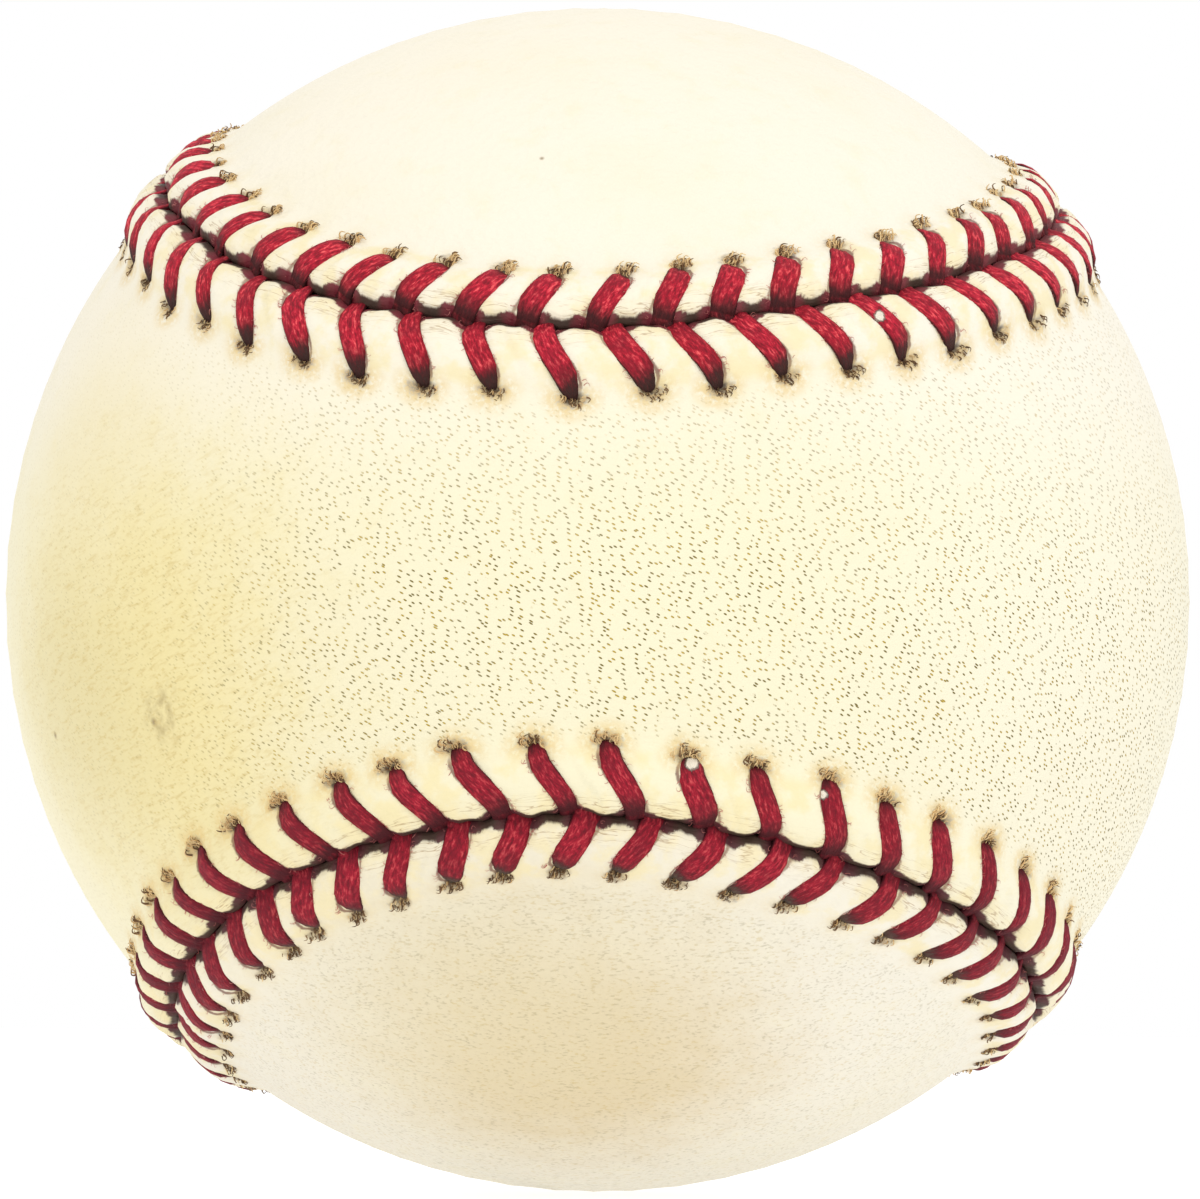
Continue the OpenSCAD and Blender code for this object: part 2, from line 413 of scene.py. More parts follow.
mark_t = np.linspace(0, turns, marks + 1)
steps = np.linalg.norm(np.diff(ball_r * seam_out(mark_t), axis=0), axis=1)
mark_run = np.concatenate([[0], np.cumsum(steps)])
seam_length = mark_run[-1]
pitch = seam_length / stitches


def seam_at(run):
    """The parameter t of the seam line at a length along it"""
    return np.interp(np.mod(run, seam_length), mark_run, mark_t)


def run_at(t):
    """The length along the seam line at its parameter t"""
    return np.interp(t, mark_t, mark_run)


def seam_point(t, across, radius):
    """The point at t, a distance across from the seam towards the front panel. The gap itself
    strays a little from the seam line"""
    a = np.radians(t / 2)
    stray = sum(size * np.sin(count * a + start) for size, count, start in gap_waves)
    stray = stray * np.clip(1 - np.abs(across) / crown_reach, 0, 1)
    a = np.asarray((across + stray) / ball_r)[..., None]
    return np.asarray(radius)[..., None] * (np.cos(a) * seam_out(t) + np.sin(a) * seam_across(t))


def uneven(size, shape=(2, stitches)):
    """How much hand work strays from stitch to stitch"""
    return size * np.clip(chance.standard_normal(shape), -2, 2)


# Each stitch of both panels: where it drops into the gap, its lean from its hole, how far off
# the hole is, its leg's width and bow, and the puff of the leather there
gap_stray = 0.07
lean_stray = 0.14
reach_stray = 0.12
width_stray_share = 0.07
bow_stray = 0.07
puff_stray_share = 0.05
numbers = np.arange(stitches)
seam_round = 2 * math.pi * numbers / stitches
hand = stitch_spread * np.sin(2 * seam_round) + stitch_shift * np.cos(3 * seam_round)
hand = hand - stitch_gather * np.cos(4 * seam_round)
gap_run = numbers * pitch + hand + np.array([[0], [crossing]]) + uneven(gap_stray)
lean = leg_lean + uneven(lean_stray)
reach = np.array(hole_reach)[:, None] + uneven(reach_stray)
width = np.array(leg_w)[:, None] * (1 + uneven(width_stray_share))
bow = leg_bow + uneven(bow_stray)
puff = 1 + uneven(puff_stray_share)

# The rolls beside the gap: where their crown and foot lie, their rise, and the shares of it
# that are lost on the slope towards the gap and in its lip
gap_half = 0.24
crown_reach = 1.9
foot_reach = 5.8
welt_rise = 1.3
slope_share = 0.05
lip_share = 0.3


def welt(across):
    """Height of the leather above the ball between two stitches, by distance from the seam"""
    inner = np.clip((crown_reach - across) / (crown_reach - gap_half), 0, 1)
    outer = np.clip((across - crown_reach) / (foot_reach - crown_reach), 0, 1)
    return welt_rise * (1 - slope_share * inner**2 - lip_share * inner**10) * (1 - outer**2) ** 4


# A leg's width at some places on its way from the hole to the gap, all as shares
way_shares = (0.0, 0.03, 0.1, 0.22, 0.36, 0.64, 0.77, 0.87)
leg_shares = (0.5, 0.62, 0.84, 0.97, 1.0, 1.0, 1.0, 0.97)
lean_ease_share = 0.55


def lean_share(u):
    """How much of its lean a leg has made by a share u of its way from the hole to the gap"""
    return u - lean_ease_share * np.sin(2 * math.pi * u) / (2 * math.pi)


def leg_share(u):
    """A leg's share of its full width, by a share u of its way from the hole to the gap"""
    return np.interp(u, way_shares, leg_shares)


def leg_run(side, across):
    """Where every leg of a side lies along the seam, at a distance across from it"""
    u = np.clip(1 - across[..., None] / reach[side], 0, 1)
    return gap_run[side] - lean[side] * (1 - lean_share(u)) + bow[side] * np.sin(math.pi * u)


def nearest_leg(side, run, across):
    """The number of the leg nearest to each place, and how far past it the place is"""
    past = run[..., None] - leg_run(side, across)
    past = np.mod(past + seam_length / 2, seam_length) - seam_length / 2
    number = np.abs(past).argmin(-1)
    return number, np.take_along_axis(past, number[..., None], -1)[..., 0]


# A stitch sinks a groove in the leather, deeper near the gap, and rounds the roll's edge there.
# Its hole has a dimple round it, with a low hood beyond
groove_share = 0.27
groove_w_share = 0.56
groove_end = 0.15
groove_ease = 0.18
gap_groove_share = 0.6
gap_groove_reach = 1.4
corner_share = 0.28
corner_reach = 0.9
corner_w = 1.25
dimple = 0.45
dimple_r = 0.55
dimple_off = 0.05
dimple_w_share = 0.95
hood_rise = 0.13
hood_r = 0.85
hood_w = 0.28


def leather_height(side, run, across):
    """Height of the leather above the ball, with the stitches drawn tight"""
    number, past = nearest_leg(side, run, across)
    hole = reach[side][number]
    half = width[side][number] * leg_share(1 - across / hole)
    under = np.exp(-np.abs(past / (groove_w_share * half)) ** 4)
    held = 1 / (1 + np.exp((across - hole - groove_end) / groove_ease))
    deeper = 1 + gap_groove_share * np.clip(1 - across / gap_groove_reach, 0, 1)
    sunk = groove_share * deeper * under * held
    corner = np.exp(-((across / corner_reach) ** 2)) * np.exp(-((past / corner_w) ** 2))
    height = welt(across) * (puff[side][number] - sunk - corner_share * corner)
    off = np.hypot(past / dimple_w_share, across - hole - dimple_off)
    hood = hood_rise * np.exp(-(((off - hood_r) / hood_w) ** 2)) * (across > hole)
    return height - dimple * np.exp(-((off / dimple_r) ** 2)) + hood


# A panel's rows of points lie close together near the gap and further apart beyond it. Its
# inside rests on the winding, and is hollow under the roll for the thread
columns = 1512
fine_step = 0.25
fine_reach = 6.5
coarse_rows = 12
coarse_ease_share = 0.45
middle_angle = 97.0
middle_across = 20.0
inner_middle_share = 0.55
inner_middle_across = 12.0
bed_gap = 0.03
hollow_rise = 0.75
hollow_reach = 3.8
hollow_end = 2.0
hollow_ease = 0.5

# The panel's edge: a lip that nearly meets the other panel's, and eased corners above it
lip_half = 0.04
lip_ease = 0.12
lip_depth = 0.24
lip_rise_max = 0.55
edge_ease_w = 0.06
edge_ease_t = 0.1
edge_rise_max = 0.7

# Half a leg, with the leather that it touches
leg_half_share = 0.55


def middle_way(side, t):
    """The way out through the middle line of a panel, from one round end to the other"""
    if side == FRONT:
        a = np.radians(middle_angle * np.sin(np.radians(t / 2)))
        return np.stack([-np.sin(a), -np.cos(a), 0 * a], -1)
    a = np.radians(middle_angle * np.cos(np.radians(t / 2)))
    return np.stack([0 * a, np.cos(a), np.sin(a)], -1)


def between(first, second, share):
    """A way out at a share of the arc from one to another"""
    angle = np.arccos(np.clip((first * second).sum(-1), -1, 1))[..., None]
    return (np.sin((1 - share) * angle) * first + np.sin(share * angle) * second) / np.sin(angle)


def add_mesh(name, points, faces, edges=()):
    mesh = bpy.data.meshes.new(name)
    mesh.from_pydata([tuple(p) for p in points], edges, faces)
    mesh.update()
    return mesh


def carry(mesh, **kinds):
    """Keeps values on a mesh's points, for the finish to read"""
    for name, values in kinds.items():
        wide = np.ndim(values) > 1
        layer = mesh.attributes.new(name, "FLOAT_VECTOR" if wide else "FLOAT", "POINT")
        flat = np.ascontiguousarray(values, np.float32).ravel()
        layer.data.foreach_set("vector" if wide else "value", flat)


def panel_rows(side, t):
    """One panel's rows of points, with their distance from the seam. They go from the middle
    line inside it out to the gap, and back over the outside"""
    every = np.ones(columns)
    middle = middle_way(side, t)
    fine = np.arange(gap_half, fine_reach + fine_step / 2, fine_step)
    last_way = seam_point(t, toward[side] * fine[-1], every)
    rows = []

    def add_row(way, radius, across):
        rows.append((way * (radius * every)[..., None], across * every))

    def add_seam_row(across, radius):
        add_row(seam_point(t, toward[side] * across * every, every), radius, across)

    inner_r = wound_r + bed_gap
    hollow_r = inner_r + hollow_rise
    add_row(middle, inner_r, middle_across)
    add_row(between(middle, last_way, inner_middle_share), inner_r, inner_middle_across)
    edge_r = ball_r + leather_height(side, run_at(t), gap_half * every)
    for across, radius in (
        (fine_reach, inner_r), (hollow_reach + hollow_ease, inner_r), (hollow_reach, hollow_r),
        (hollow_end, hollow_r), (lip_half + lip_ease, hollow_r), (lip_half, hollow_r + lip_ease),
        (lip_half, np.minimum(edge_r - lip_depth, ball_r + lip_rise_max)),
        (gap_half - edge_ease_w, np.minimum(edge_r - edge_ease_t, ball_r + edge_rise_max)),
    ):
        add_seam_row(across, radius)
    for across in fine:
        add_seam_row(across, ball_r + leather_height(side, run_at(t), across * every))
    for j in range(1, coarse_rows):
        share = j / coarse_rows
        share = share * (coarse_ease_share + (1 - coarse_ease_share) * share)
        way = between(last_way, middle, share)
        angle = np.arccos(np.clip((last_way * way).sum(-1), -1, 1))
        add_row(way, ball_r, fine[-1] + angle * ball_r)
    add_row(middle, ball_r, middle_across)
    return rows


def cover_panel(name, side, finish):
    """One panel. In its first and last row, on the middle line, two columns share each point"""
    t = turns * np.arange(columns) / columns
    rows = panel_rows(side, t)
    column = np.arange(columns)
    twin = (columns // 2 - column) % columns if side == FRONT else (-column) % columns
    chosen = np.minimum(column, twin)
    points, runs, across, grid, count = [], [], [], [], 0
    for place, (row, row_across) in enumerate(rows):
        used = chosen if place in (0, len(rows) - 1) else column
        own, where = np.unique(used, return_inverse=True)
        grid.append(count + where)
        points.append(row[own])
        runs.append(run_at(t)[own])
        across.append(row_across[own])
        count += len(own)
    quads = []
    for low, high in zip(grid, grid[1:]):
        four = np.stack([low, np.roll(low, -1), np.roll(high, -1), high], -1)
        quads.append(four if side == FRONT else four[:, ::-1])
    faces = [tuple(dict.fromkeys(face)) for face in np.concatenate(quads).tolist()]
    faces = [face for face in faces if len(face) > 2]
    mesh = add_mesh(name, np.concatenate(points) * mm, faces)
    mesh.materials.append(finish)
    mesh.shade_smooth()
    piece = placed(name, mesh)

    runs = np.concatenate(runs)
    across = np.concatenate(across)
    number, past = nearest_leg(side, runs, across)
    hole = reach[side][number]
    leg_half = leg_half_share * width[side][number] * leg_share(1 - across / hole)
    turned = 2 * math.pi * runs / seam_length
    seam_r = seam_length / (2 * math.pi)
    carry(
        mesh,
        seam_place=np.stack([seam_r * np.cos(turned), seam_r * np.sin(turned), across], -1),
        across=across,
        past_leg=np.abs(past) - leg_half,
        past_hole=np.hypot(past, np.maximum(across - hole, 0)),
        beyond_hole=across - hole,
    )
    return piece


# Patches of the leather, with the place, size, unevenness, strength and colour of each, and
# small dark marks
patches = (
    ((-31.0, -18.0, 9.0), 12.0, 0.35, 0.4, (0.78, 0.68, 0.40)),
    ((-31.0, -16.0, -8.0), 13.0, 0.35, 0.5, (0.66, 0.58, 0.32)),
    ((-3.0, -24.0, -28.0), 19.0, 0.5, 0.9, (0.66, 0.53, 0.32)),
    ((-7.2, -26.6, -24.8), 20.0, 0.35, 0.5, (0.73, 0.66, 0.45)),
)
dark_marks = (
    ((-4.2, -26.7, 24.7), 0.22), ((-33.0, -13.0, -9.1), 0.35), ((-26.7, -23.4, -8.6), 0.4),
    ((-26.1, -24.2, -7.3), 0.22),
)


def ivory(place, cloud, fine_cloud, fresh, chained):
    """The leather's colour, yellowed and handled in places, and how worn it is"""
    low = (0.825, 0.77, 0.55) if chained else (0.805, 0.76, 0.645)
    colour = fresh.mixed(low, (0.84, 0.785, 0.65))
    colour = (cloud.eased(0.45, 0.75) * 0.3).mixed(colour, (0.79, 0.72, 0.50))
    colour = (fine_cloud.eased(0.5, 0.8) * 0.25).mixed(colour, (0.79, 0.70, 0.42))

    def spot(centre, size, waver):
        """1 in a soft patch round a point of the ball, and 0 outside it"""
        away = place.away_from(centre) / size
        away = away + (cloud - 0.5) * waver + (fine_cloud - 0.5) * waver
        return 1 - away.eased(0.1, 1.0)

    pale = place.part("X").eased(6.0, 32.0)
    colour = (pale * 0.45).mixed(colour, (0.85, 0.82, 0.72))
    worn = spot((-27.0, -22.0, -6.0), 22.0, 0.5)
    colour = (worn * 0.86).mixed(colour, (0.78, 0.66, 0.30))
    for centre, size, waver, strength, tone in patches:
        colour = (spot(centre, size, waver) * strength).mixed(colour, tone)
    smudge = spot((-26.4, -24.0, -8.2), 2.4, 1.0) * place.noise(0.8, 3.0, 0.6).eased(0.35, 0.75)
    colour = (smudge * 0.8).mixed(colour, (0.40, 0.30, 0.12))
    for centre, size in dark_marks:
        colour = (spot(centre, size, 0.6) * 0.8).mixed(colour, (0.25, 0.17, 0.08))

    # The front panel has darker smears down its worn side
    if chained:
        lane = place.node(
            "ShaderNodeVectorRotate", {"Vector": place, "Angle": 0.45}, rotation_type="Y_AXIS"
        )
        smear = lane.stretched(1.0, 0.5, 2.8).noise(0.7, 4.0, 0.65).eased(0.48, 0.72)
        colour = (smear * worn * 0.7).mixed(colour, (0.62, 0.48, 0.19))
    return colour, worn


def chained_pores(place, across):
    """Short slanting dots in wavy upright chains, laid out on the ball as on a globe"""
    east = place.part("X").math("ARCTAN2", place.part("Y") * -1.0) * ball_r
    north = (place.part("Z") / ball_r).math("ARCSINE") * ball_r
    drift = place.noise(2.4, 1.0) * 1.1
    pore_place = place.node(
        "ShaderNodeCombineXYZ",
        {"X": east / 0.66 + drift, "Y": (north + east * 0.45) / 0.31, "Z": 0.0},
    )
    dot = place.node(
        "ShaderNodeTexVoronoi", {"Vector": pore_place, "Scale": 1.0, "Randomness": 0.8},
        out="Distance", voronoi_dimensions="2D",
    )
    chain = place.stretched(1.0, 1.0, 0.4).noise(0.55, 1.0).eased(0.34, 0.46)
    patch = place.noise(3.5, 2.0).eased(0.2, 0.6) * 0.35 + 0.65
    pore = (1 - dot.eased(0.11, 0.195)) * chain * patch
    strength = place.part("X").eased(-29.0, -12.0) * 0.8 + 0.2
    strength = strength * (1 - place.part("Z").eased(-1.0, 9.0) * 0.5)
    return pore * strength * across.eased(4.0, 6.0)


def soiled_and_shaded(seam_place, carried, fine_cloud, colour, chained):
    """The colour with soil along the legs and round the holes, painted shade along the legs' edges
    and in the holes, and the leather's torn grain
    """
    across, past_leg, past_hole, beyond_hole = carried
    near = 1 - across.eased(3.5, 4.3)
    torn = seam_place.noise(0.32, 3.0, 0.7)
    beside = near * fine_cloud.eased(0.42, 0.62)
    colour = (beside * 0.5).mixed(colour, (0.81, 0.68, 0.33))
    # Painted shade: a thin dark line along the edges of the legs
    off_edge = (past_leg + 0.17 + (torn - 0.5) * 0.2).math("ABSOLUTE")
    leg_edge_shade = 1 - off_edge.eased(0.04, 0.15)
    colour = (leg_edge_shade * near * 0.8).mixed(colour, (0.15, 0.04, 0.03))
    away = past_hole + (fine_cloud - 0.5) * 0.9 + (torn - 0.5) * 0.5
    rubbed = (1 - away.eased(0.8, 2.0)) * beyond_hole.eased(-0.9, 0.3)
    rubbed = rubbed * torn.eased(0.3, 0.6)
    colour = (rubbed * (0.75 if chained else 0.2)).mixed(colour, (0.72, 0.52, 0.20))
    tail = (1 - away.eased(0.55, 1.05)) * beyond_hole.eased(-0.1, 0.2)
    tail_colour = torn.eased(0.35, 0.65).mixed((0.20, 0.125, 0.055), (0.62, 0.46, 0.24))
    colour = (tail * 0.6).mixed(colour, tail_colour)
    # Painted shade in the hole at the end of each leg
    hole_pit_shade = (1 - away.eased(0.2, 0.6)) * beyond_hole.eased(-0.25, 0.0)
    colour = (hole_pit_shade * 0.85).mixed(colour, (0.05, 0.03, 0.02))
    return colour, torn


def gap_edged(place, seam_place, carried, cloud, fine_cloud, torn, fresh, colour):
    """The colour with fine creases along the rolls and painted shade on their edges in the gap,
    and the creases
    """
    across, past_leg = carried[:2]
    crease_place = seam_place.stretched(0.22, 0.22, 2.4)
    crease = crease_place.noise(1.0, 3.0, 0.6)
    creased = 1 - across.eased(0.7, 1.9)
    fold = (1 - (crease - 0.5).math("ABSOLUTE").eased(0.003, 0.02)) * cloud.eased(0.4, 0.55)
    colour = (creased * 0.25).mixed(colour, (0.82, 0.70, 0.44))
    colour = (creased * fold * 0.6).mixed(colour, (0.30, 0.15, 0.04))
    # Painted shade on the rolls' edges in the gap: dark brown, crimson towards the upper right,
    # brighter higher up, and wider and redder at the corners beside the legs
    leg_corner_shade = 1 - (past_leg + (torn - 0.5) * 0.6).eased(0.0, 0.75)
    frayed = (torn - 0.5) * 0.16 + (fine_cloud - 0.5) * 0.25 - leg_corner_shade * 0.3
    gap_rim_shade = 1 - (across + frayed).eased(0.25, 0.42)
    crimson = fresh.mixed((0.07, 0.003, 0.012), (0.16, 0.006, 0.02))
    crimson_share = fresh * place.part("X").eased(18.0, 27.0)
    crimson_share = 1 - (1 - crimson_share * 0.8) * (1 - leg_corner_shade)
    gap_rim_shade_colour = crimson_share.mixed((0.042, 0.016, 0.010), crimson)
    colour = (gap_rim_shade * 0.97).mixed(colour, gap_rim_shade_colour)
    return colour, crease, creased


def cover_leather(name, chained):
    """Ivory leather with a grain of small pores, in chains on the front panel"""
    material, place = new_finish(name)
    carried = carried_by(place, "across", "past_leg", "past_hole", "beyond_hole")
    seam_place = place.node("ShaderNodeAttribute", {}, out="Vector", attribute_name="seam_place")
    cloud = place.noise(14.0, 4.0, 0.6)
    fine_cloud = place.noise(2.2, 4.0, 0.6)
    fresh = place.part("Z").eased(2.0, 16.0)
    colour, worn = ivory(place, cloud, fine_cloud, fresh, chained)
    if chained:
        pore = chained_pores(place, carried[0])
    else:
        dot = place.stretched(0.6, 1.0, 1.7).noise(0.2, 2.0)
        pore = dot.eased(0.53, 0.68) * (1 - fresh) * 0.26 * carried[0].eased(3.8, 5.5)
    pore_colour = place.noise(0.9, 2.0).eased(0.4, 0.6).mixed((0.17, 0.12, 0.0), (0.50, 0.32, 0.0))
    colour = (pore * 0.97).mixed(colour, pore_colour)
    colour, torn = soiled_and_shaded(seam_place, carried, fine_cloud, colour, chained)
    colour, crease, creased = gap_edged(
        place, seam_place, carried, cloud, fine_cloud, torn, fresh, colour
    )

    rough_grain = 0.020 if chained else 0.05
    grain = place.cells(0.55) * rough_grain + place.noise(0.35, 3.0, 0.6) * 0.020
    pull = place.noise(2.6, 3.0) * 0.05
    height = grain + pull - pore * 0.05 + crease * creased * 0.12 + fine_cloud * 0.03
    height = height + place.stretched(1.0, 0.5, 2.2).noise(0.5, 3.0) * 0.05
    roughness = 0.55 + fine_cloud * 0.12 + pore * 0.2 - worn * 0.06
    set_finish(material, colour, roughness, height, Specular_IOR_Level=0.35)
    return material


front_leather = cover_leather("ivory_leather_front", True)
back_leather = cover_leather("ivory_leather_back", False)
for name, side, node, finish in (
    ("leather_panel_front", FRONT, "cover_panel_front", front_leather),
    ("leather_panel_back", BACK, "cover_panel_back", back_leather),
):
    panel = cover_panel(name, side, finish)
    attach(panel, "root")
    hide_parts(node)

# Lacing: one red waxed thread with a needle on each end, drawn through alternate holes of the
# two panels. Each stitch comes up its hole, lies flat over the roll of leather, drops into the
# gap and runs on under the other panel.

# Its height over the winding, its depth in a hole and in the leather, and what it rests on
under_rise = 0.42
under_r = wound_r + under_rise
hidden_depth = 0.3
pressed_in = 0.2
ground_min = -0.1
gap_ground = 0.05
hole_broad_share = 0.24
hole_broad_end = 0.2

# Half the thread's width and thickness where it is hidden: at the foot of a hole, in the hole,
# under the gap, and halfway to the next hole
foot_half = (0.42, 0.4)
hole_half = (0.45, 0.38)
gap_foot_half = (0.42, 0.3)
under_half = (0.5, 0.25)

# A leg on its way over the roll: the share of the way, its share of the thickness, and its
# painted shade, with some dirt at the hole end
over_shares = (
    (0.03, 0.85, 0.9), (0.10, 0.95, 0.6), (0.22, 1.0, 0.25), (0.36, 1.0, 0.05),
    (0.50, 1.0, 0.0), (0.64, 1.0, 0.05), (0.77, 0.95, 0.2), (0.87, 0.9, 0.45),
)

# Its end in the gap: distance from the seam, drop, shares of width and thickness, painted shade
gap_end = (
    (0.34, 0.0, 0.97, 0.9, 0.45), (0.1, 0.1, 0.95, 0.9, 0.55),
    (-0.12, 0.36, 0.9, 0.85, 0.7), (-0.18, 1.0, 0.6, 0.8, 1.0),
)

# Painted shade, as if lit from above: the lower end of a leg is painted darker, from a share of
# the way on and at a rate
shade_below = 0.9
shade_end_share = 0.6
gap_shade = (0.6, 1.5)
hole_shade = (0.35, -2)


def ahead_of(run, start):
    """How far one place along the closed seam is past another, the shorter way round"""
    return (run - start + seam_length / 2) % seam_length - seam_length / 2


def thread_path(first):
    """The places that one end of the thread passes, all round the seam, and its size there"""
    places = []

    def pass_by(run, across, radius, half, slant, shade, leg, share):
        places.append((run, across, radius, *half, slant, shade, leg, share))

    for k in range(stitches):
        side = (k + first) % 2
        sign = toward[side]
        hole = reach[side][k]
        gap = gap_run[side][k]
        start_run = gap - lean[side][k]
        later = (k + 1) % stitches
        later_hole = reach[1 - side][later]
        ahead = ahead_of(gap_run[1 - side][later] - lean[1 - side][later], gap)
        behind = ahead_of(start_run, gap_run[1 - side][(k - 1) % stitches])
        over = math.atan2(sign * lean[side][k], hole)
        under = math.atan2(sign * ahead, later_hole)
        turn_in = (over + math.atan2(-sign * behind, hole)) / 2
        turn_out = (over + under) / 2
        # Hidden in its hole and under the other panel, the thread is painted in full shade
        pass_by(start_run, sign * hole, under_r, foot_half, turn_in, 1.0, k, 0.0)
        pass_by(start_run, sign * hole, ball_r - hidden_depth, hole_half, turn_in, 1.0, k, 0.0)

        half_w = width[side][k] / 2
        half_t = leg_t / 2
        rise = sign * seam_across(seam_at(np.array([gap])))[0, 2]
        for u, deep, shade in over_shares:
            wide = leg_share(u) + hole_broad_share * max(0.0, rise) * (u < hole_broad_end)
            across = np.array([hole * (1 - u)])
            at_run = leg_run(side, across)[0, k]
            ground = leather_height(side, np.array([at_run]), across)[0]
            low = shade_below * max(
                0.0, (u - gap_shade[0]) * gap_shade[1] * rise,
                (hole_shade[0] - u) * hole_shade[1] * rise,
            )
            radius = ball_r + max(ground, ground_min) + (half_t * deep - pressed_in)
            half = (half_w * min(1.0, wide), half_t * deep)
            pass_by(at_run, sign * across[0], radius, half, over, shade + low, k, u)
        edge = leather_height(side, np.array([gap]), np.array([gap_half + gap_ground]))[0]
        low = shade_end_share * shade_below * max(0.0, rise)
        for off, drop, wide, deep, shade in gap_end:
            radius = ball_r + edge + half_t * deep - pressed_in - drop
            half = (half_w * wide, half_t * deep)
            pass_by(gap, sign * off, radius, half, (over + turn_out) / 2, shade + low, k, 1.0)
        pass_by(gap, 0.0, under_r, gap_foot_half, turn_out, 1.0, k, 1.0)
        halfway = gap + ahead / 2
        pass_by(halfway, -sign * later_hole / 2, under_r, under_half, under, 1.0, k, 1.0)
    return [np.array(values, float) for values in zip(*places)]


def thread_mesh(name, first):
    """A closed path for one end of the thread, whose points carry its width and thickness"""
    run, across, radius, half_w, half_t, slant, shade, leg, share = thread_path(first)
    t = seam_at(run)
    centre = seam_point(t, across, radius)
    ahead = np.roll(centre, -1, 0) - centre
    heading = unit(unit(ahead) + unit(np.roll(ahead, 1, 0)))
    wide = np.cos(slant)[:, None] * seam_along(t) + np.sin(slant)[:, None] * seam_across(t)
    thick = unit(np.cross(heading, wide))
    level = np.cross(thick, heading)
    count = len(run)
    edges = [(i, (i + 1) % count) for i in range(count)]
    mesh = add_mesh(name, centre * mm, (), edges)
    step = np.linalg.norm(ahead, axis=1)
    carry(
        mesh,
        centre=centre * mm,
        half_width=level * half_w[:, None] * mm,
        half_thick=thick * half_t[:, None] * mm,
        thread_run=np.cumsum(step) - step,
        shade=shade,
        leg_seed=chance.random(stitches)[leg.astype(int)],
        leg_run=share,
        hole_up=(np.sign(across)[:, None] * seam_across(t))[:, 2],
    )
    return mesh


thread_sides = 12
groove_depth_share = 0.22
groove_steepness = 9.0
lacing_tree, given = new_tree(
    "laced_thread",
    {"Geometry": "Geometry", "Sides": "Int", "Groove": "Float", "Material": "Material"},
)
start = Wire(lacing_tree)
route = start.node("GeometryNodeMeshToCurve", {"Mesh": given["Geometry"]})
swept = start.node(
    "GeometryNodeCurveToMesh", {"Curve": route, "Profile Curve": ringed(start, given["Sides"])}
)
ring_x = read(start, "ring_x")
ring_y = read(start, "ring_y")
pressed = 1 - given["Groove"] * (ring_x * ring_x * -groove_steepness).math("EXPONENT")
ring_y = ring_y * pressed


def scaled_by(vector, length):
    return vector.node("ShaderNodeVectorMath", {0: vector, "Scale": length}, operation="SCALE")


def added(first, second):
    return first.node("ShaderNodeVectorMath", {0: first, 1: second}, operation="ADD")


moved = added(
    read(start, "centre", "FLOAT_VECTOR"),
    added(
        scaled_by(read(start, "half_width", "FLOAT_VECTOR"), ring_x),
        scaled_by(read(start, "half_thick", "FLOAT_VECTOR"), ring_y),
    ),
)
shaped = start.node("GeometryNodeSetPosition", {"Geometry": swept, "Position": moved})
end_tree(lacing_tree, shaped, given["Material"])

# Crumbs of wax on three of the legs: the place and the size of each
wax_crumbs = (((4.6, -3.5, -11.1), 0.5), ((12.3, -3.3, -12.8), 0.34), ((15.5, -3.1, 15.2), 0.4))

# The thread is flat and waxed, with its fibres along it. Its colour has painted shade on its
# edges, in the holes and the gap and at its lower ends, and painted highlights along the fibres
red_thread, place = new_finish("red_thread")
run, round_x, round_y, shade, leg_seed, on_leg, hole_up = carried_by(
    place, "thread_run", "ring_x", "ring_y", "shade", "leg_seed", "leg_run", "hole_up"
)
along = place.node(
    "ShaderNodeCombineXYZ",
    {"X": run * 1.2, "Y": round_x * 2.6, "Z": round_y * 1.5 + leg_seed * 40},
)
fibre = along.noise(0.55, 4.0, 0.65)
strand = along.stretched(0.5, 1.0, 1.0).noise(1.4, 2.0)
blotch = place.noise(1.1, 3.0)
colour = leg_seed.mixed((0.51, 0.008, 0.028), (0.68, 0.014, 0.046))
colour = fibre.eased(0.32, 0.62).mixed((0.20, 0.003, 0.012), colour)
# Painted highlights: bright streaks along the fibres
colour = (fibre.eased(0.52, 0.70) * 0.85).mixed(colour, (1.0, 0.15, 0.15))
colour = (blotch.eased(0.45, 0.7) * 0.6).mixed(colour, (0.22, 0.004, 0.016))
# Painted shade on the thread's rounded edges, and a dark painted outline along each side
edge = round_x * round_x
colour = (edge.eased(0.15, 0.9) * 0.35).mixed(colour, (0.22, 0.004, 0.014))
colour = (edge.eased(0.75, 0.95) * 0.9).mixed(colour, (0.035, 0.004, 0.005))
# Painted shade, with some dirt at the holes: darker where the legs go into the holes and the gap, at
# their lower ends and where they are hidden
dark = (shade + (strand - 0.5) * 0.9).eased(0.25, 1.15)
colour = (dark * 0.92).mixed(colour, (0.034, 0.008, 0.008))
# Darker towards the bottom of the ball
low_on_ball = 1 - place.part("Z").eased(-9.0, 6.0)
colour = (low_on_ball * 0.38).mixed(colour, (0.085, 0.003, 0.011))
# Soil and painted shade at the foot of each leg whose hole lies below
at_foot = 1 - (on_leg + (fibre - 0.5) * 0.35).eased(0.02, 0.2)
low_foot_soil_and_shade = at_foot * (1 - hole_up.eased(-0.3, 0.3))
soil = low_on_ball.mixed((0.040, 0.018, 0.014), (0.095, 0.078, 0.055))
colour = (low_foot_soil_and_shade * (strand * 0.4 + 0.6)).mixed(colour, soil)
